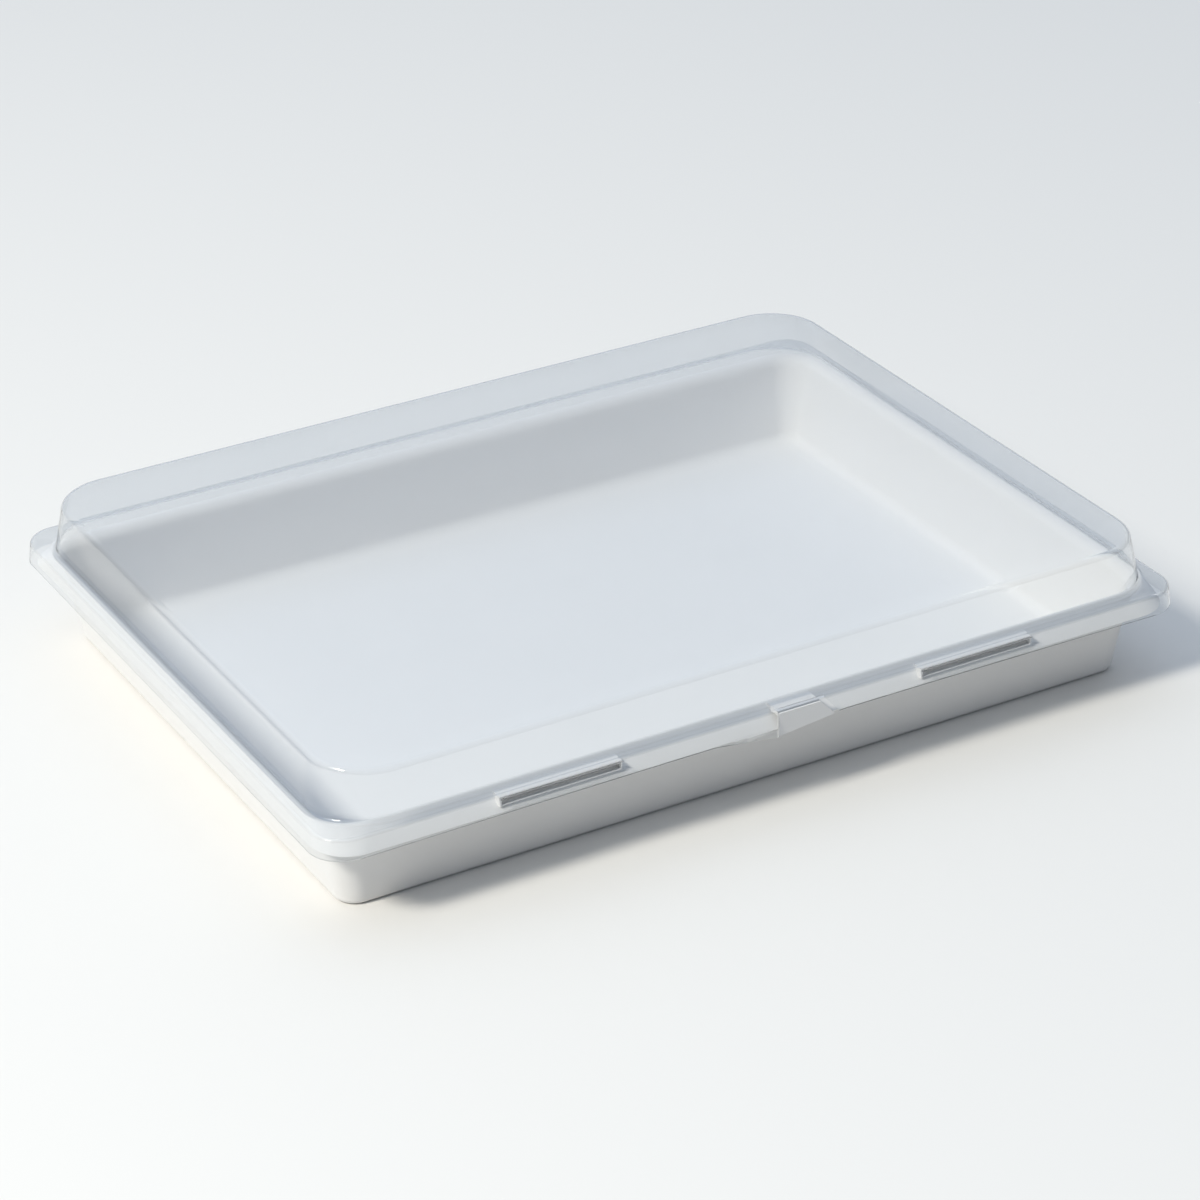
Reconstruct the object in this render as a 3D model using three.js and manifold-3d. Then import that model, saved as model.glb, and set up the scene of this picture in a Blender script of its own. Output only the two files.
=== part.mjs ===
// A shallow rectangular pan with a clear formed lid that snaps over its rim.
// Millimetres. X runs along the long side, the finger tabs face -Y, Z is up, and the pan stands on Z = 0.
// The origin is the middle of the footprint.
import * as THREE from "three";
import { mergeVertices } from "three/addons/utils/BufferGeometryUtils.js";
import Module from "manifold-3d";

const wasm = await Module();
wasm.setup();

// Driving sizes.
const overallLength = 340;
const overallWidth = 260;
const overallHeight = 55.5;
const floorLength = 312.6;
const floorWidth = 224.4;
const rimHeight = 36;
const trayThickness = 1.5;
const lidThickness = 0.9;

// The pan's mouth and rim.
const mouthHalfX = 160.5;
const mouthHalfY = 115.5;
const mouthEdgeRound = 4.6;
const rimHalfX = 167.6;
const rimHalfY = 127.6;
const rimDrop = 6.9;
const rimCurve = 1.4;
const rimUnderInset = 1.2;
const rimUnderDrop = 1;
const floorFillet = 4;
const floorCorner = 8;
const mouthCorner = 12;
const rimCorner = 14;

// The lid's skirt, the land over the rim, and the raised top.
const skirtBottom = 29.6;
const skirtInset = 1;
const lidRimGap = 0.4;
const landTop = rimHeight + lidRimGap + lidThickness;
const wallBaseHalfX = 164;
const wallBaseHalfY = 124;
const lidTopHalfX = 161.3;
const lidTopHalfY = 122.8;
const landEdgeRound = 0.8;
const topEdgeRound = 2.5;
const skirtCorner = 13;
const wallCorner = 22;

// The two snap dents in the front of the skirt.
const dentInnerEnd = 58.5;
const dentOuterEnd = 106;
const dentRamp = 1.5;
const dentDepth = 1.2;
const dentBottom = 32.6;
const dentTop = 35.6;

// The two catch bars on the pan's front rim, behind the dents.
const catchInset = 0.7;
const catchFace = 127;
const catchBottom = 31.4;
const catchTop = 34.9;

// The finger tabs: the lid's is left of the middle, the pan's is right of it in a notch of the skirt.
const tabReach = 25;
const tabDroop = 2.3;
const notchTopReach = 19;
const tabSideGap = 0.6;
const tabInset = 0.7;
const notchClearance = 2;

const cornerSteps = 9;
const filletSteps = 4;
const rimSteps = 5;

// Places along the front side where the outline needs points of its own.
const dentStations = [
  dentInnerEnd - dentRamp,
  dentInnerEnd,
  dentOuterEnd,
  dentOuterEnd + dentRamp,
];
const frontStations = [
  ...dentStations.map((x) => -x).reverse(),
  -tabReach,
  -tabReach / 2,
  0,
  tabReach / 2,
  tabReach,
  ...dentStations,
];

// A rectangle with rounded corners at one height, always with the same count of points.
function outline({ halfX, halfY, corner, z }) {
  const points = frontStations.map((x) => new THREE.Vector3(x, -halfY, z));
  const corners = [
    [1, -1],
    [1, 1],
    [-1, 1],
    [-1, -1],
  ];
  corners.forEach(([sideX, sideY], quarter) => {
    for (let step = 0; step <= cornerSteps; step++) {
      const angle = (Math.PI / 2) * (quarter - 1 + step / cornerSteps);
      const x = sideX * (halfX - corner) + corner * Math.cos(angle);
      const y = sideY * (halfY - corner) + corner * Math.sin(angle);
      points.push(new THREE.Vector3(x, y, z));
    }
  });
  return points;
}

// Rings that follow a quarter round between two rings, turning from the first ring's direction.
function quarterRound(from, to, sidewaysFirst) {
  const rings = [];
  for (let step = 0; step <= filletSteps; step++) {
    const angle = (Math.PI / 2) * (step / filletSteps);
    const early = Math.sin(angle);
    const late = 1 - Math.cos(angle);
    const sideways = sidewaysFirst ? early : late;
    const upwards = sidewaysFirst ? late : early;
    rings.push({
      halfX: THREE.MathUtils.lerp(from.halfX, to.halfX, sideways),
      halfY: THREE.MathUtils.lerp(from.halfY, to.halfY, sideways),
      corner: THREE.MathUtils.lerp(from.corner, to.corner, sideways),
      z: THREE.MathUtils.lerp(from.z, to.z, upwards),
    });
  }
  return rings;
}

// A closed skin through the rings: the first ring is capped facing down and the last facing up.
function loft(rings, reshape = (point) => point) {
  const loops = rings.map((ring) => outline(ring).map(reshape));
  const count = loops[0].length;
  const positions = loops.flat().flatMap((point) => point.toArray());
  const bottomCentre = loops.length * count;
  const topCentre = bottomCentre + 1;
  positions.push(0, 0, rings[0].z, 0, 0, rings.at(-1).z);
  const triangles = [];
  for (let i = 0; i < count; i++) {
    const next = (i + 1) % count;
    triangles.push(bottomCentre, next, i);
    for (let ring = 0; ring + 1 < loops.length; ring++) {
      const low = ring * count;
      const high = low + count;
      triangles.push(low + i, low + next, high + next);
      triangles.push(low + i, high + next, high + i);
    }
    const last = (loops.length - 1) * count;
    triangles.push(topCentre, last + i, last + next);
  }
  const geometry = new THREE.BufferGeometry();
  geometry.setAttribute("position", new THREE.Float32BufferAttribute(positions, 3));
  geometry.setIndex(triangles);
  return geometry;
}

// A flat outline drawn in X and Z, given thickness between two values of Y.
function frontPlate(corners, yFront, yBack) {
  const shape = new THREE.Shape(corners.map(([x, z]) => new THREE.Vector2(x, z)));
  const geometry = new THREE.ExtrudeGeometry(shape, { depth: yBack - yFront, bevelEnabled: false });
  return geometry.rotateX(Math.PI / 2).translate(0, yBack, 0);
}

// Geometry as a manifold solid, and back again.
function toSolid(geometry) {
  const bare = new THREE.BufferGeometry();
  bare.setAttribute("position", geometry.getAttribute("position"));
  bare.setIndex(geometry.index);
  const merged = mergeVertices(bare, 1e-4);
  const vertProperties = new Float32Array(merged.getAttribute("position").array);
  const triVerts = new Uint32Array(merged.index.array);
  return new wasm.Manifold(new wasm.Mesh({ numProp: 3, vertProperties, triVerts }));
}

function toGeometry(solid) {
  const mesh = solid.getMesh();
  const geometry = new THREE.BufferGeometry();
  geometry.setAttribute("position", new THREE.BufferAttribute(mesh.vertProperties, 3));
  geometry.setIndex(new THREE.BufferAttribute(mesh.triVerts, 1));
  geometry.computeVertexNormals();
  return geometry;
}

function grow(ring, distance, z) {
  return {
    halfX: ring.halfX + distance,
    halfY: ring.halfY + distance,
    corner: ring.corner + distance,
    z,
  };
}

// Rings down the outside of the rim: level at the mouth, then sloping out and down to its edge.
function rolledRim(crest, edge) {
  const rings = [];
  for (let step = 0; step <= rimSteps; step++) {
    const share = step / rimSteps;
    rings.push({
      halfX: THREE.MathUtils.lerp(crest.halfX, edge.halfX, share),
      halfY: THREE.MathUtils.lerp(crest.halfY, edge.halfY, share),
      corner: THREE.MathUtils.lerp(crest.corner, edge.corner, share),
      z: rimHeight - rimDrop * share ** rimCurve,
    });
  }
  return rings;
}

// The pan: a drafted tub whose rim turns outwards over a rounded mouth and slopes down to its edge.
// The front of the rim carries the finger tab and the two catch bars.
function trayGeometry() {
  const floorOutside = { halfX: floorLength / 2, halfY: floorWidth / 2, corner: floorCorner, z: 0 };
  const floorInside = grow(floorOutside, -trayThickness, trayThickness);
  const mouth = { halfX: mouthHalfX, halfY: mouthHalfY, corner: mouthCorner, z: rimHeight };
  const rim = { halfX: rimHalfX, halfY: rimHalfY, corner: rimCorner, z: rimHeight };
  const wallLean = (mouthHalfX - floorLength / 2) / rimHeight;
  const floorEdge = grow(floorInside, floorFillet * wallLean, trayThickness + floorFillet);
  const underRim = rimHeight - trayThickness;
  const wallTop = rimHeight - mouthEdgeRound;
  const crest = grow(mouth, mouthEdgeRound, rimHeight);
  const outside = rolledRim(crest, rim);
  const underside = outside.map((ring) => grow(ring, -rimUnderInset, ring.z - rimUnderDrop));
  const rings = [
    ...quarterRound(grow(floorOutside, -trayThickness, 0), grow(floorOutside, 0, trayThickness), true),
    ...quarterRound(grow(mouth, trayThickness, wallTop), { ...crest, z: underRim }, false),
    // The first rings of the underside would sit inside the round under the mouth, so they are left out.
    ...underside.slice(2),
    ...outside.reverse(),
    ...quarterRound(crest, grow(mouth, 0, wallTop), true).slice(1),
    ...quarterRound(floorEdge, grow(floorInside, -floorFillet, trayThickness), false),
  ];
  const tabFace = -overallWidth / 2 + tabInset;
  const tabBack = tabFace + trayThickness;
  const tabRight = notchTopReach - notchClearance;
  const tabPlate = frontPlate(
    [
      [tabSideGap, skirtBottom - tabDroop],
      [tabReach - notchClearance, skirtBottom],
      [tabRight, rimHeight],
      [tabSideGap, rimHeight],
    ],
    tabFace,
    tabBack,
  );
  const tabBridge = frontPlate(
    [
      [tabSideGap, underRim],
      [tabRight, underRim],
      [tabRight, rimHeight],
      [tabSideGap, rimHeight],
    ],
    tabBack - trayThickness / 2,
    -crest.halfY - tabSideGap,
  );
  const catchBar = (side) => {
    const ends = [side * (dentInnerEnd + catchInset), side * (dentOuterEnd - catchInset)];
    return frontPlate(
      [
        [Math.min(...ends), catchBottom],
        [Math.max(...ends), catchBottom],
        [Math.max(...ends), catchTop],
        [Math.min(...ends), catchTop],
      ],
      -catchFace,
      -crest.halfY - rimUnderInset,
    );
  };
  const extras = [tabPlate, tabBridge, catchBar(-1), catchBar(1)];
  const solid = extras.reduce((whole, extra) => whole.add(toSolid(extra)), toSolid(loft(rings)));
  return toGeometry(solid);
}

// Pushes the skirt's front in at the two dents, and lowers its edge to a point at the middle.
function shapeSkirtFront(point) {
  const onFront = point.y < -wallBaseHalfY && point.z < landTop - lidThickness / 2;
  if (!onFront) return point;
  const reach = Math.abs(point.x);
  const insideDent = reach >= dentInnerEnd && reach <= dentOuterEnd;
  if (insideDent && point.z > dentBottom && point.z < dentTop) point.y += dentDepth;
  const tabShare = Math.max(0, 1 - reach / tabReach);
  const lowShare = Math.max(0, (dentBottom - point.z) / (dentBottom - skirtBottom));
  point.z -= tabDroop * tabShare * lowShare;
  return point;
}

// The lid: a thin formed cover with a raised top, a land over the rim, and a skirt outside it.
function lidGeometry() {
  const skirtEdge = {
    halfX: overallLength / 2,
    halfY: overallWidth / 2,
    corner: skirtCorner,
    z: skirtBottom,
  };
  const landEdge = grow(skirtEdge, -skirtInset, landTop);
  const wallBase = { halfX: wallBaseHalfX, halfY: wallBaseHalfY, corner: wallCorner, z: landTop };
  const topEdge = { halfX: lidTopHalfX, halfY: lidTopHalfY, corner: wallCorner, z: overallHeight };
  const innerTop = grow(topEdge, -lidThickness, overallHeight - lidThickness);
  const innerRound = topEdgeRound - lidThickness;
  const innerTopRim = grow(innerTop, -innerRound, innerTop.z);
  const innerWallTop = grow(innerTop, 0, innerTop.z - innerRound);
  const skirtTop = grow(landEdge, 0, landTop - landEdgeRound);
  const landRim = grow(landEdge, -landEdgeRound, landTop);
  const wallTop = grow(topEdge, 0, overallHeight - topEdgeRound);
  const topRim = grow(topEdge, -topEdgeRound, overallHeight);
  const landBottom = landTop - lidThickness;
  const skirtRow = (z, side) => {
    const share = (z - skirtBottom) / (landTop - skirtBottom);
    return grow(skirtEdge, -skirtInset * share - side, z);
  };
  const dentRows = [dentBottom, dentBottom + dentRamp / 2, dentTop - dentRamp / 2, dentTop];
  const rings = [
    ...quarterRound(innerTopRim, innerWallTop, true),
    grow(wallBase, -lidThickness, landBottom),
    skirtRow(landBottom, lidThickness),
    ...dentRows.map((z) => skirtRow(z, lidThickness)).reverse(),
    skirtRow(skirtBottom, lidThickness),
    skirtRow(skirtBottom, 0),
    ...dentRows.map((z) => skirtRow(z, 0)),
    ...quarterRound(skirtTop, landRim, false),
    wallBase,
    ...quarterRound(wallTop, topRim, false),
  ];
  const notch = frontPlate(
    [
      [0, skirtBottom - 2 * tabDroop],
      [tabReach + tabDroop, skirtBottom - 2 * tabDroop],
      [tabReach, skirtBottom],
      [notchTopReach, landTop - lidThickness],
      [0, landTop - lidThickness],
    ],
    -overallWidth / 2 - lidThickness,
    -wallBaseHalfY - lidThickness,
  );
  return toGeometry(toSolid(loft(rings, shapeSkirtFront)).subtract(toSolid(notch)));
}

function piece(name, geometry, material) {
  const mesh = new THREE.Mesh(geometry, material);
  mesh.name = name;
  return mesh;
}

const whitePlastic = new THREE.MeshStandardMaterial({ color: 0xf2f4f5, roughness: 0.45, metalness: 0 });
const clearPlastic = new THREE.MeshStandardMaterial({
  color: 0xdfe8ee,
  roughness: 0.08,
  metalness: 0,
  transparent: true,
  opacity: 0.25,
});

const trayWithLid = new THREE.Group();
trayWithLid.name = "tray_with_lid";
trayWithLid.add(piece("tray", trayGeometry(), whitePlastic));
trayWithLid.add(piece("lid", lidGeometry(), clearPlastic));

export default trayWithLid;
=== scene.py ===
"""Looks for the tray with its clear lid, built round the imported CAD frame.

Metres, +Z up, with the front towards -Y.
"""

import math

import bmesh
import bpy
from mathutils import Matrix, Vector


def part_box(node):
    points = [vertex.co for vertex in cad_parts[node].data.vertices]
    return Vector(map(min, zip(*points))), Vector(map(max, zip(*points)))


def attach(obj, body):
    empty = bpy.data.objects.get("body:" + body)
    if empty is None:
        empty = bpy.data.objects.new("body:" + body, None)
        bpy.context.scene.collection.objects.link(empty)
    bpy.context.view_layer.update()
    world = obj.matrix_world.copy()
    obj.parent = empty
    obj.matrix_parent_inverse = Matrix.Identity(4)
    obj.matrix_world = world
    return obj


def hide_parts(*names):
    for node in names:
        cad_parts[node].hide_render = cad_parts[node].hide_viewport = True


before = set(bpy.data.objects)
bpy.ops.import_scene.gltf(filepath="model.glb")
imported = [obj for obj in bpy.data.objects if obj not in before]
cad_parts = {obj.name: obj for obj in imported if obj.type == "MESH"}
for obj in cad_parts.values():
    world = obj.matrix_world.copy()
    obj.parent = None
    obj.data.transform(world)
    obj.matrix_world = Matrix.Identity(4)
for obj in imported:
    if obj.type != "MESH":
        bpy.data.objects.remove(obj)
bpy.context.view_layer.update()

MM = 0.001
LID_LOW, LID_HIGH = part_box("lid")
TRAY_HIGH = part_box("tray")[1]

# Sizes taken from the frame.
HALF_LENGTH = LID_HIGH.x
HALF_WIDTH = LID_HIGH.y
LID_TOP = LID_HIGH.z
RIM_TOP = TRAY_HIGH.z
RIM_HALF_X = TRAY_HIGH.x
RIM_HALF_Y = TRAY_HIGH.y
TAB_TIP = LID_LOW.z

# The pan. The underside of the rim lies inwards and below the top by shares of the thickness.
TRAY_THICKNESS = 1.5 * MM
UNDER_INSET = 0.8 * TRAY_THICKNESS
UNDER_DROP = 0.67 * TRAY_THICKNESS
FLOOR_HALF_X = 156.3 * MM
FLOOR_HALF_Y = 112.2 * MM
FLOOR_CORNER = 8 * MM
MOUTH_HALF_X = 160.5 * MM
MOUTH_HALF_Y = 115.5 * MM
MOUTH_CORNER = 12 * MM
RIM_CORNER = 14 * MM
RIM_DROP = 6.4 * MM
RIM_CURVE = 1.2
MOUTH_ROUND = 4.6 * MM
FLOOR_FILLET = 4 * MM
FILLET_LEAN = 0.2 * FLOOR_FILLET
BASE_ROUND = 2.5 * MM

# The lid.
LID_THICKNESS = 0.5 * MM
TAB_DROOP = 2.3 * MM
SKIRT_BOTTOM = TAB_TIP + TAB_DROOP
SKIRT_CORNER = 13 * MM
SKIRT_INSET = 1 * MM
SKIRT_ROWS = 9
LAND_TOP = RIM_TOP + 1.3 * MM
LIP = 0.15 * MM
LAND_ROUND = 1.4 * MM
WALL_BASE_X = 164 * MM
WALL_BASE_Y = 124 * MM
WALL_CORNER = 22 * MM
WALL_FOOT = 2 * MM
TOP_HALF_X = 161.3 * MM
TOP_HALF_Y = 122.8 * MM
TOP_ROUND = 2.5 * MM

# The snap dents, the finger tabs and the notch, along the front of the skirt.
DENT_NEAR = 58.5 * MM
DENT_FAR = 106 * MM
DENT_RAMP = 1.5 * MM
DENT_DEPTH = 1.2 * MM
DENT_BOTTOM = 32.4 * MM
DENT_TOP = 35.8 * MM
DENT_STEEPNESS = 1.6
SKIRT_BOW = 1 * MM
CATCH_INSET = 0.7 * MM
CATCH_FACE = 127 * MM
CATCH_BOTTOM = 31.4 * MM
CATCH_TOP = 34.9 * MM
CATCH_LIP = 0.55 * MM
CATCH_GROOVE = 3 * MM
TAB_REACH = 25 * MM
TAB_SIDE_GAP = 0.6 * MM
TAB_PROUD = 0.3 * MM
TAB_FACE = -HALF_WIDTH + SKIRT_INSET - TAB_PROUD
NOTCH_TOP_REACH = 19 * MM
NOTCH_CLEARANCE = 2 * MM

# The looks and the stage. Edges sharper than SHARP_DEGREES are shaded as corners.
PLASTIC_IOR = 1.5
SHARP_DEGREES = 40
NOISE_LOW = 0.3
NOISE_HIGH = 0.7
DIM_ROOM = (0.04, 0.04, 0.04)
FLOOR_REACH = 6

# How finely the skins are divided. The evenly spaced points of the front stop short of its corners.
CORNER_STEPS = 20
ROUND_STEPS = 6
RIM_STEPS = 10
PLATE_STEPS = 12
FRONT_STEP = 2 * MM
FRONT_END_GAP = 40 * MM
FRONT_FILL = 0.98
SIDE_STEPS = 24


def lerp(a, b, share):
    return a + (b - a) * share


def smooth(share):
    share = min(1.0, max(0.0, share))
    return share * share * (3 - 2 * share)


def ring(half_x, half_y, corner, z):
    return {"half_x": half_x, "half_y": half_y, "corner": corner, "z": z}


def grown(base, distance, z):
    return ring(base["half_x"] + distance, base["half_y"] + distance, base["corner"] + distance, z)


def outline(at):
    """A rounded rectangle at one height, always with the same count of points, starting at the front."""
    points = []
    reach = int((HALF_LENGTH - FRONT_END_GAP) / FRONT_STEP)
    squeeze = min(1, FRONT_FILL * (at["half_x"] - at["corner"]) / (reach * FRONT_STEP))
    for step in range(-reach, reach + 1):
        points.append(Vector((step * FRONT_STEP * squeeze, -at["half_y"], at["z"])))
    corners = ((1, -1), (1, 1), (-1, 1), (-1, -1))
    for quarter, (side_x, side_y) in enumerate(corners):
        for step in range(CORNER_STEPS + 1):
            angle = math.pi / 2 * (quarter - 1 + step / CORNER_STEPS)
            x = side_x * (at["half_x"] - at["corner"]) + at["corner"] * math.cos(angle)
            y = side_y * (at["half_y"] - at["corner"]) + at["corner"] * math.sin(angle)
            points.append(Vector((x, y, at["z"])))
        if quarter < 3:
            points.extend(side_points(at, quarter))
    return points


def side_points(at, quarter):
    """Points between two corners, on the right, the back and the left side."""
    run_x = at["half_x"] - at["corner"]
    run_y = at["half_y"] - at["corner"]
    ends = (
        ((at["half_x"], -run_y), (at["half_x"], run_y)),
        ((run_x, at["half_y"]), (-run_x, at["half_y"])),
        ((-at["half_x"], run_y), (-at["half_x"], -run_y)),
    )[quarter]
    points = []
    for step in range(1, SIDE_STEPS):
        share = step / SIDE_STEPS
        x = lerp(ends[0][0], ends[1][0], share)
        y = lerp(ends[0][1], ends[1][1], share)
        points.append(Vector((x, y, at["z"])))
    return points


def rounded(start, end, sideways_first):
    """Rings along a quarter round from one ring to another."""
    rings = []
    for step in range(ROUND_STEPS + 1):
        angle = math.pi / 2 * step / ROUND_STEPS
        early = math.sin(angle)
        late = 1 - math.cos(angle)
        sideways, upwards = (early, late) if sideways_first else (late, early)
        rings.append(
            ring(
                lerp(start["half_x"], end["half_x"], sideways),
                lerp(start["half_y"], end["half_y"], sideways),
                lerp(start["corner"], end["corner"], sideways),
                lerp(start["z"], end["z"], upwards),
            )
        )
    return rings


def plate_rings(edge):
    """Rings from near the middle of a flat plate almost out to its edge."""
    rings = []
    for step in range(1, PLATE_STEPS):
        share = step / PLATE_STEPS
        half_x = edge["half_x"] * share
        half_y = edge["half_y"] * share
        rings.append(ring(half_x, half_y, edge["corner"] * share, edge["z"]))
    return rings


def loft(name, rings, reshape):
    """A closed skin through the rings. The first ring is capped facing down and the last facing up."""
    mesh = bmesh.new()
    loops = [[mesh.verts.new(reshape(point)) for point in outline(at)] for at in rings]
    low_centre = mesh.verts.new(reshape(Vector((0, 0, rings[0]["z"]))))
    high_centre = mesh.verts.new(reshape(Vector((0, 0, rings[-1]["z"]))))
    count = len(loops[0])
    for i in range(count):
        j = (i + 1) % count
        mesh.faces.new((low_centre, loops[0][j], loops[0][i]))
        mesh.faces.new((high_centre, loops[-1][i], loops[-1][j]))
        for low, high in zip(loops, loops[1:]):
            mesh.faces.new((low[i], low[j], high[j], high[i]))
    data = bpy.data.meshes.new(name)
    mesh.to_mesh(data)
    mesh.free()
    piece = bpy.data.objects.new(name, data)
    bpy.context.scene.collection.objects.link(piece)
    return piece


def front_plate(name, corners, y_front, y_back):
    """A flat outline in X and Z, given thickness between two values of Y."""
    mesh = bmesh.new()
    front = [mesh.verts.new((x, y_front, z)) for x, z in corners]
    back = [mesh.verts.new((x, y_back, z)) for x, z in corners]
    count = len(corners)
    mesh.faces.new(front)
    mesh.faces.new(list(reversed(back)))
    for i in range(count):
        j = (i + 1) % count
        mesh.faces.new((front[j], front[i], back[i], back[j]))
    bmesh.ops.recalc_face_normals(mesh, faces=mesh.faces)
    data = bpy.data.meshes.new(name)
    mesh.to_mesh(data)
    mesh.free()
    piece = bpy.data.objects.new(name, data)
    bpy.context.scene.collection.objects.link(piece)
    return piece


def combine(piece, tool, operation):
    """Joins a tool piece to this one or cuts it away. Faces made by the tool keep the tool's material."""
    step = piece.modifiers.new(operation, "BOOLEAN")
    step.operation = operation
    step.solver = "EXACT"
    step.material_mode = "TRANSFER"
    step.object = tool
    bpy.context.view_layer.update()
    shaped = piece.evaluated_get(bpy.context.evaluated_depsgraph_get())
    data = bpy.data.meshes.new_from_object(shaped)
    piece.modifiers.clear()
    piece.data = data
    bpy.data.objects.remove(tool)


def shade(piece):
    piece.data.shade_smooth()
    piece.data.set_sharp_from_angle(angle=math.radians(SHARP_DEGREES))


# The pan


def rolled_rim():
    """Rings down the outside of the rim: level at the mouth, then sloping out and down to its edge."""
    mouth = ring(MOUTH_HALF_X, MOUTH_HALF_Y, MOUTH_CORNER, RIM_TOP)
    crest = grown(mouth, MOUTH_ROUND, RIM_TOP)
    edge = ring(RIM_HALF_X, RIM_HALF_Y, RIM_CORNER, RIM_TOP)
    rings = []
    for step in range(RIM_STEPS + 1):
        share = step / RIM_STEPS
        rings.append(
            ring(
                lerp(crest["half_x"], edge["half_x"], share),
                lerp(crest["half_y"], edge["half_y"], share),
                lerp(crest["corner"], edge["corner"], share),
                RIM_TOP - RIM_DROP * share**RIM_CURVE,
            )
        )
    return rings


def tray_rings():
    floor_outside = ring(FLOOR_HALF_X, FLOOR_HALF_Y, FLOOR_CORNER, 0)
    floor_inside = grown(floor_outside, -TRAY_THICKNESS, TRAY_THICKNESS)
    mouth = ring(MOUTH_HALF_X, MOUTH_HALF_Y, MOUTH_CORNER, RIM_TOP)
    wall_top = RIM_TOP - MOUTH_ROUND
    base_edge = grown(floor_outside, -BASE_ROUND, 0)
    fillet_top = grown(floor_inside, FILLET_LEAN, TRAY_THICKNESS + FLOOR_FILLET)
    fillet_bottom = grown(floor_inside, -FLOOR_FILLET, TRAY_THICKNESS)
    outside = rolled_rim()
    underside = [grown(at, -UNDER_INSET, at["z"] - UNDER_DROP) for at in outside]
    under_crest = grown(mouth, MOUTH_ROUND, RIM_TOP - TRAY_THICKNESS)
    return [
        *plate_rings(base_edge),
        *rounded(base_edge, grown(floor_outside, 0, BASE_ROUND), True),
        *rounded(grown(mouth, TRAY_THICKNESS, wall_top), under_crest, False),
        *underside[2:],
        *reversed(outside),
        *rounded(grown(mouth, MOUTH_ROUND, RIM_TOP), grown(mouth, 0, wall_top), True)[1:],
        *rounded(fillet_top, fillet_bottom, False),
        *reversed(plate_rings(fillet_bottom)),
    ]


def catch_corners(side, inset):
    """The front outline of a catch bar on one side of the middle, or of the groove inside its lip."""
    ends = sorted((side * (DENT_NEAR + CATCH_INSET + inset), side * (DENT_FAR - CATCH_INSET - inset)))
    return (
        (ends[0], CATCH_BOTTOM + inset),
        (ends[1], CATCH_BOTTOM + inset),
        (ends[1], CATCH_TOP - inset),
        (ends[0], CATCH_TOP - inset),
    )


def make_tray():
    tray = loft("tray_pan", tray_rings(), lambda point: point)
    tab_right = NOTCH_TOP_REACH - NOTCH_CLEARANCE
    under_rim = RIM_TOP - TRAY_THICKNESS
    tab_corners = (
        (TAB_SIDE_GAP, TAB_TIP),
        (TAB_REACH - NOTCH_CLEARANCE, SKIRT_BOTTOM),
        (tab_right, RIM_TOP),
        (TAB_SIDE_GAP, RIM_TOP),
    )
    combine(tray, front_plate("tab", tab_corners, TAB_FACE, TAB_FACE + TRAY_THICKNESS), "UNION")
    bridge_corners = (
        (TAB_SIDE_GAP, under_rim),
        (tab_right, under_rim),
        (tab_right, RIM_TOP),
        (TAB_SIDE_GAP, RIM_TOP),
    )
    crest_y = -MOUTH_HALF_Y - MOUTH_ROUND
    bridge_front = TAB_FACE + TRAY_THICKNESS / 2
    bridge = front_plate("bridge", bridge_corners, bridge_front, crest_y - TAB_SIDE_GAP)
    combine(tray, bridge, "UNION")
    for side in (-1, 1):
        bar = front_plate("catch", catch_corners(side, 0), -CATCH_FACE, crest_y - TRAY_THICKNESS)
        combine(tray, bar, "UNION")
        groove_corners = catch_corners(side, CATCH_LIP)
        groove = front_plate("groove", groove_corners, -CATCH_FACE - CATCH_LIP, -CATCH_FACE + CATCH_GROOVE)
        combine(tray, groove, "DIFFERENCE")
    shade(tray)
    return tray


# The lid


def dent_share(x, z):
    """How far a place on the skirt is pushed in by a snap dent, from 0 to 1."""
    reach = abs(x)
    along = smooth((reach - DENT_NEAR) / DENT_RAMP) * smooth((DENT_FAR - reach) / DENT_RAMP)
    middle = (DENT_TOP + DENT_BOTTOM) / 2
    half = (DENT_TOP - DENT_BOTTOM) / 2
    across = smooth(DENT_STEEPNESS * (1 - abs(z - middle) / half))
    return along * across


def shape_lid(point):
    """Pushes the dents in and lowers the skirt's edge to a point at the middle."""
    if point.y < -WALL_BASE_Y and point.z < LAND_TOP - LID_THICKNESS / 2:
        point.y += DENT_DEPTH * dent_share(point.x, point.z)
        tab_share = max(0.0, 1 - abs(point.x) / TAB_REACH)
        low_share = max(0.0, (DENT_BOTTOM - point.z) / (DENT_BOTTOM - SKIRT_BOTTOM))
        bow = SKIRT_BOW * (1 - (point.x / HALF_LENGTH) ** 2)
        point.z += (bow - (TAB_DROOP + bow) * tab_share) * low_share
    return point


def skirt_row(z, side):
    share = (z - SKIRT_BOTTOM) / (LAND_TOP - SKIRT_BOTTOM)
    edge = ring(HALF_LENGTH, HALF_WIDTH, SKIRT_CORNER, SKIRT_BOTTOM)
    return grown(edge, -SKIRT_INSET * share - side, z)


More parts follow.
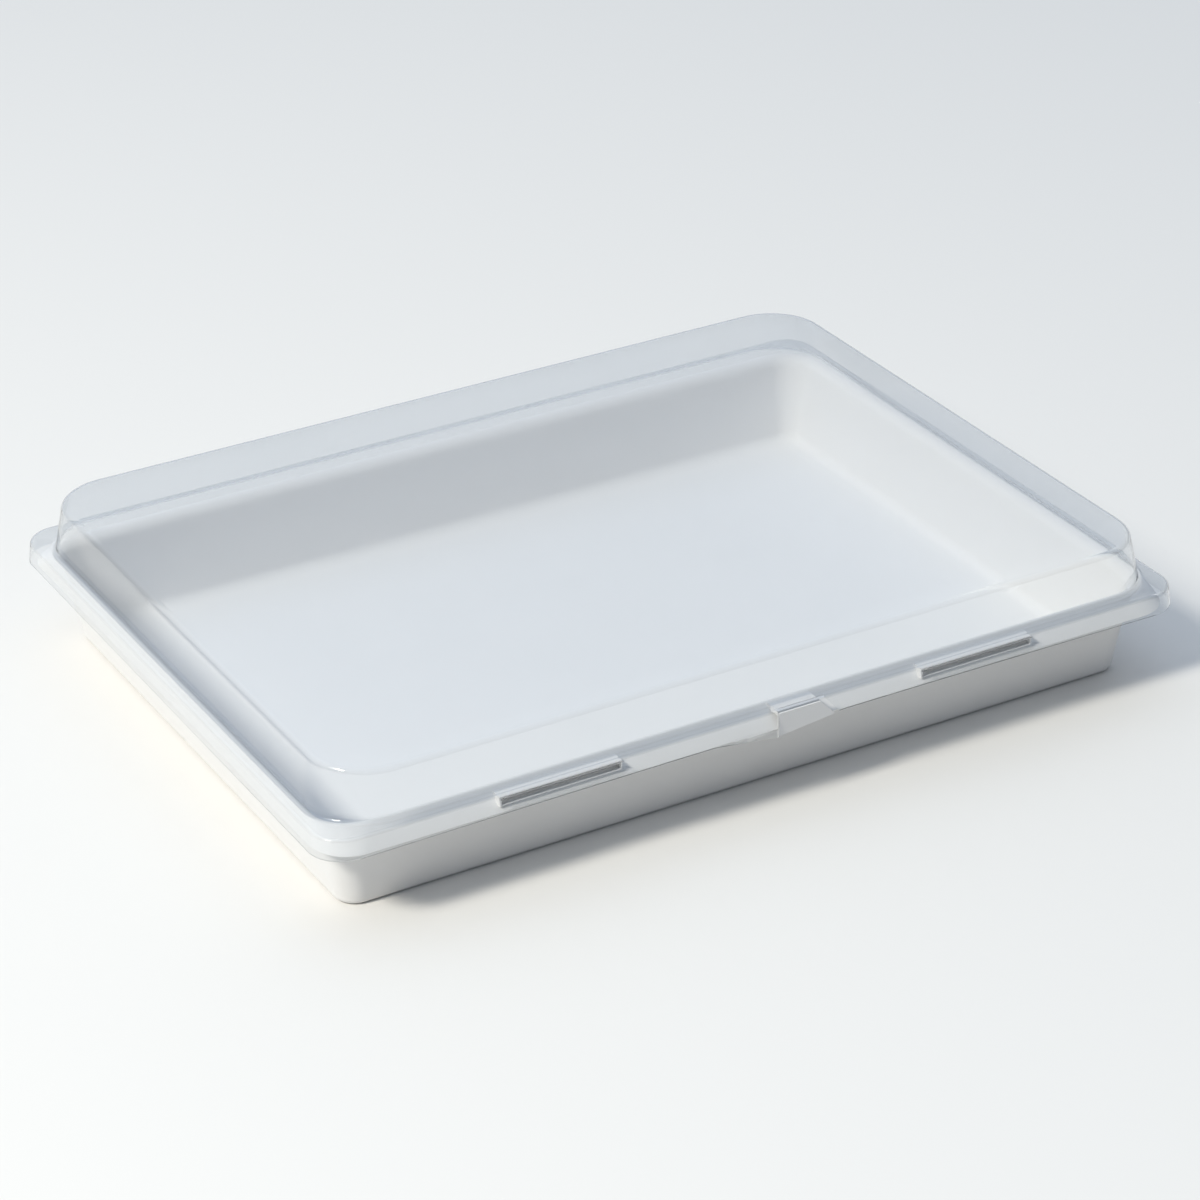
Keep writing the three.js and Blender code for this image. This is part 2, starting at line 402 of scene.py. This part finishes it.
def lid_rings():
    wall_base = ring(WALL_BASE_X, WALL_BASE_Y, WALL_CORNER, LAND_TOP)
    top_edge = ring(TOP_HALF_X, TOP_HALF_Y, WALL_CORNER, LID_TOP)
    inner_round = TOP_ROUND - LID_THICKNESS
    ceiling = grown(top_edge, -TOP_ROUND, LID_TOP - LID_THICKNESS)
    inner_shoulder = grown(top_edge, -LID_THICKNESS, LID_TOP - LID_THICKNESS - inner_round)
    land_bottom = LAND_TOP - LID_THICKNESS
    inner_foot = grown(wall_base, -LID_THICKNESS, land_bottom + WALL_FOOT)
    inner_land = grown(wall_base, -LID_THICKNESS + WALL_FOOT, land_bottom)
    inner_edge_round = LAND_ROUND - LID_THICKNESS
    inner_edge = skirt_row(LAND_TOP - LAND_ROUND, LID_THICKNESS)
    rows = [lerp(DENT_BOTTOM, DENT_TOP, step / (SKIRT_ROWS - 1)) for step in range(SKIRT_ROWS)]
    skirt_top = skirt_row(LAND_TOP - LAND_ROUND, 0)
    land_edge = grown(skirt_top, -LAND_ROUND, LAND_TOP)
    outer_land = grown(wall_base, WALL_FOOT, LAND_TOP)
    outer_foot = grown(wall_base, 0, LAND_TOP + WALL_FOOT)
    return [
        *plate_rings(ceiling),
        *rounded(ceiling, inner_shoulder, True),
        *rounded(inner_foot, inner_land, False),
        *rounded(grown(inner_edge, -inner_edge_round, land_bottom), inner_edge, True),
        *[skirt_row(z, LID_THICKNESS) for z in reversed(rows)],
        skirt_row(SKIRT_BOTTOM + LIP, LID_THICKNESS),
        skirt_row(SKIRT_BOTTOM, LID_THICKNESS - LIP),
        skirt_row(SKIRT_BOTTOM, LIP),
        skirt_row(SKIRT_BOTTOM + LIP, 0),
        *[skirt_row(z, 0) for z in rows],
        *rounded(skirt_top, land_edge, False),
        *rounded(outer_land, outer_foot, True),
        *rounded(grown(top_edge, 0, LID_TOP - TOP_ROUND), grown(top_edge, -TOP_ROUND, LID_TOP), False),
        *reversed(plate_rings(grown(top_edge, -TOP_ROUND, LID_TOP))),
    ]


def make_lid():
    lid = loft("lid_cover", lid_rings(), shape_lid)
    lid.data.materials.append(clear_plastic())
    ceiling = LAND_TOP - LID_THICKNESS
    notch_corners = (
        (0, SKIRT_BOTTOM - 2 * TAB_DROOP),
        (TAB_REACH + TAB_DROOP, SKIRT_BOTTOM - 2 * TAB_DROOP),
        (TAB_REACH, SKIRT_BOTTOM),
        (NOTCH_TOP_REACH, ceiling),
        (0, ceiling),
    )
    notch_front = -HALF_WIDTH - LID_THICKNESS
    notch = front_plate("notch", notch_corners, notch_front, -WALL_BASE_Y - LID_THICKNESS)
    notch.data.materials.append(trimmed_edge())
    combine(lid, notch, "DIFFERENCE")
    shade(lid)
    return lid


# Materials


def new_material(name):
    material = bpy.data.materials.new(name)
    material.use_nodes = True
    tree = material.node_tree
    tree.nodes.clear()
    return material, tree


def noise(tree, scale, detail):
    place = tree.nodes.new("ShaderNodeTexCoord")
    texture = tree.nodes.new("ShaderNodeTexNoise")
    texture.inputs["Scale"].default_value = scale
    texture.inputs["Detail"].default_value = detail
    tree.links.new(place.outputs["Object"], texture.inputs["Vector"])
    return texture.outputs["Fac"]


def spread(tree, value, low, high):
    """Maps the middle of a noise onto a range of values."""
    change = tree.nodes.new("ShaderNodeMapRange")
    change.inputs["From Min"].default_value = NOISE_LOW
    change.inputs["From Max"].default_value = NOISE_HIGH
    change.inputs["To Min"].default_value = low
    change.inputs["To Max"].default_value = high
    tree.links.new(value, change.inputs["Value"])
    return change.outputs["Result"]


def blend_colours(tree, factor, first, second):
    mix = tree.nodes.new("ShaderNodeMix")
    mix.data_type = "RGBA"
    first_colour, second_colour = [socket for socket in mix.inputs if socket.type == "RGBA"]
    first_colour.default_value = (*first, 1)
    second_colour.default_value = (*second, 1)
    tree.links.new(factor, mix.inputs["Factor"])
    return [socket for socket in mix.outputs if socket.type == "RGBA"][0]


def bump(tree, height, strength, distance, before=None):
    node = tree.nodes.new("ShaderNodeBump")
    node.inputs["Strength"].default_value = strength
    node.inputs["Distance"].default_value = distance
    tree.links.new(height, node.inputs["Height"])
    if before is not None:
        tree.links.new(before, node.inputs["Normal"])
    return node.outputs["Normal"]


def white_plastic():
    material, tree = new_material("white_plastic")
    surface = tree.nodes.new("ShaderNodeBsdfPrincipled")
    output = tree.nodes.new("ShaderNodeOutputMaterial")
    surface.inputs["IOR"].default_value = 1.49
    mottle = noise(tree, 22, 3)
    grain = noise(tree, 900, 2)
    ripple = noise(tree, 14, 1)
    tint = blend_colours(tree, mottle, (0.825, 0.83, 0.832), (0.855, 0.86, 0.862))
    tree.links.new(tint, surface.inputs["Base Color"])
    tree.links.new(spread(tree, mottle, 0.32, 0.46), surface.inputs["Roughness"])
    wavy = bump(tree, ripple, 0.25, 0.0008)
    tree.links.new(bump(tree, grain, 0.12, 0.00006, wavy), surface.inputs["Normal"])
    tree.links.new(surface.outputs["BSDF"], output.inputs["Surface"])
    return material


def clear_plastic():
    """Clear sheet: real glass to the eye, but open to lamp and bounced light, which reach what it covers."""
    material, tree = new_material("clear_plastic")
    surface = tree.nodes.new("ShaderNodeBsdfPrincipled")
    output = tree.nodes.new("ShaderNodeOutputMaterial")
    surface.inputs["Transmission Weight"].default_value = 1
    surface.inputs["IOR"].default_value = PLASTIC_IOR
    smudge = noise(tree, 30, 4)
    ripple = noise(tree, 18, 1)
    tint = blend_colours(tree, smudge, (0.87, 0.885, 0.895), (0.9, 0.91, 0.92))
    tree.links.new(tint, surface.inputs["Base Color"])
    tree.links.new(spread(tree, smudge, 0.02, 0.07), surface.inputs["Roughness"])
    tree.links.new(bump(tree, ripple, 0.2, 0.0005), surface.inputs["Normal"])
    open_to_light = tree.nodes.new("ShaderNodeBsdfTransparent")
    side = tree.nodes.new("ShaderNodeNewGeometry")
    from_air = tree.nodes.new("ShaderNodeMapRange")
    from_air.inputs["To Min"].default_value = PLASTIC_IOR
    from_air.inputs["To Max"].default_value = 1 / PLASTIC_IOR
    tree.links.new(side.outputs["Backfacing"], from_air.inputs["Value"])
    mirrored = tree.nodes.new("ShaderNodeFresnel")
    tree.links.new(from_air.outputs["Result"], mirrored.inputs["IOR"])
    shade_tint = blend_colours(tree, mirrored.outputs["Fac"], (0.985, 0.985, 0.985), (0.05, 0.06, 0.07))
    tree.links.new(shade_tint, open_to_light.inputs["Color"])
    path = tree.nodes.new("ShaderNodeLightPath")
    either = tree.nodes.new("ShaderNodeMath")
    either.operation = "MAXIMUM"
    tree.links.new(path.outputs["Is Shadow Ray"], either.inputs[0])
    tree.links.new(path.outputs["Is Diffuse Ray"], either.inputs[1])
    mix = tree.nodes.new("ShaderNodeMixShader")
    tree.links.new(either.outputs["Value"], mix.inputs["Fac"])
    tree.links.new(surface.outputs["BSDF"], mix.inputs[1])
    tree.links.new(open_to_light.outputs["BSDF"], mix.inputs[2])
    tree.links.new(mix.outputs["Shader"], output.inputs["Surface"])
    return material


def trimmed_edge():
    """Where the clear sheet is cut it is rough and looks milky."""
    material, tree = new_material("trimmed_edge")
    surface = tree.nodes.new("ShaderNodeBsdfPrincipled")
    output = tree.nodes.new("ShaderNodeOutputMaterial")
    grain = noise(tree, 1500, 2)
    tint = blend_colours(tree, grain, (0.55, 0.57, 0.6), (0.65, 0.67, 0.7))
    tree.links.new(tint, surface.inputs["Base Color"])
    tree.links.new(spread(tree, grain, 0.45, 0.6), surface.inputs["Roughness"])
    tree.links.new(surface.outputs["BSDF"], output.inputs["Surface"])
    return material


# Floor, light and camera


def make_floor():
    mesh = bmesh.new()
    bmesh.ops.create_grid(mesh, x_segments=1, y_segments=1, size=FLOOR_REACH)
    data = bpy.data.meshes.new("floor")
    mesh.to_mesh(data)
    mesh.free()
    floor = bpy.data.objects.new("floor", data)
    bpy.context.scene.collection.objects.link(floor)
    material, tree = new_material("pale_floor")
    surface = tree.nodes.new("ShaderNodeBsdfPrincipled")
    output = tree.nodes.new("ShaderNodeOutputMaterial")
    surface.inputs["Base Color"].default_value = (0.77, 0.757, 0.735, 1)
    surface.inputs["Roughness"].default_value = 0.8
    surface.inputs["Specular IOR Level"].default_value = 0.2
    tree.links.new(surface.outputs["BSDF"], output.inputs["Surface"])
    data.materials.append(material)


def soft_light(name, place, aim, width, height, power, colour):
    lamp = bpy.data.lights.new(name, "AREA")
    lamp.shape = "RECTANGLE"
    lamp.size = width
    lamp.size_y = height
    lamp.energy = power
    lamp.color = colour
    holder = bpy.data.objects.new(name, lamp)
    holder.location = place
    holder.rotation_mode = "QUATERNION"
    holder.rotation_quaternion = (Vector(aim) - Vector(place)).to_track_quat("-Z", "Y")
    bpy.context.scene.collection.objects.link(holder)


def room_glow(tree, direction, fade_from, colour):
    """Light that is strongest from one direction and fades to the room's dim level away from it."""
    place = tree.nodes.new("ShaderNodeTexCoord")
    towards = tree.nodes.new("ShaderNodeVectorMath")
    towards.operation = "DOT_PRODUCT"
    towards.inputs[1].default_value = Vector(direction).normalized()
    tree.links.new(place.outputs["Generated"], towards.inputs[0])
    change = tree.nodes.new("ShaderNodeMapRange")
    change.interpolation_type = "SMOOTHSTEP"
    change.inputs["From Min"].default_value = fade_from
    change.inputs["From Max"].default_value = 1
    tree.links.new(towards.outputs["Value"], change.inputs["Value"])
    return blend_colours(tree, change.outputs["Result"], DIM_ROOM, colour)


def make_world():
    """A soft room with a wide window wall behind and a bluish ceiling."""
    world = bpy.data.worlds.new("studio")
    world.use_nodes = True
    tree = world.node_tree
    add = tree.nodes.new("ShaderNodeMix")
    add.data_type = "RGBA"
    add.blend_type = "ADD"
    add.inputs["Factor"].default_value = 1
    window, ceiling = [socket for socket in add.inputs if socket.type == "RGBA"]
    total = [socket for socket in add.outputs if socket.type == "RGBA"][0]
    tree.links.new(room_glow(tree, (0, 1, 0.25), -0.1, (0.54, 0.59, 0.67)), window)
    tree.links.new(room_glow(tree, (0, 0, 1), 0.2, (0.52, 0.61, 0.73)), ceiling)
    tree.links.new(total, tree.nodes["Background"].inputs["Color"])
    bpy.context.scene.world = world


def make_lights():
    """One soft lamp high on the left, and a view transform that leaves the colours plain."""
    soft_light("key_left", (-2, -0.35, 2), (0, 0, 0.03), 0.45, 0.45, 66, (1, 0.96, 0.86))
    bpy.context.scene.view_settings.view_transform = "Standard"


def make_camera():
    """The camera's aim and distance are shares of the lid's length."""
    azimuth = math.radians(-28.87)
    elevation = math.radians(28.05)
    roll = math.radians(-1.289)
    target = Vector((0.0187, 0.0135, 0.05)) * 2 * HALF_LENGTH
    distance = 4.1944 * 2 * HALF_LENGTH
    level = math.cos(elevation)
    back = Vector((math.sin(azimuth) * level, -math.cos(azimuth) * level, math.sin(elevation)))
    right = Vector((math.cos(azimuth), math.sin(azimuth), 0))
    up = back.cross(right)
    rolled_right = right * math.cos(roll) + up * math.sin(roll)
    rolled_up = back.cross(rolled_right)
    lens = bpy.data.cameras.new("camera")
    lens.sensor_width = 36
    lens.lens = 116.75
    camera = bpy.data.objects.new("camera", lens)
    turn = Matrix((rolled_right, rolled_up, back)).transposed().to_4x4()
    camera.matrix_world = Matrix.Translation(target + back * distance) @ turn
    bpy.context.scene.collection.objects.link(camera)
    bpy.context.scene.camera = camera


tray = make_tray()
tray.data.materials.append(white_plastic())
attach(tray, "tray")
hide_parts("tray")

lid = make_lid()
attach(lid, "lid")
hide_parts("lid")

make_floor()
make_world()
make_lights()
make_camera()
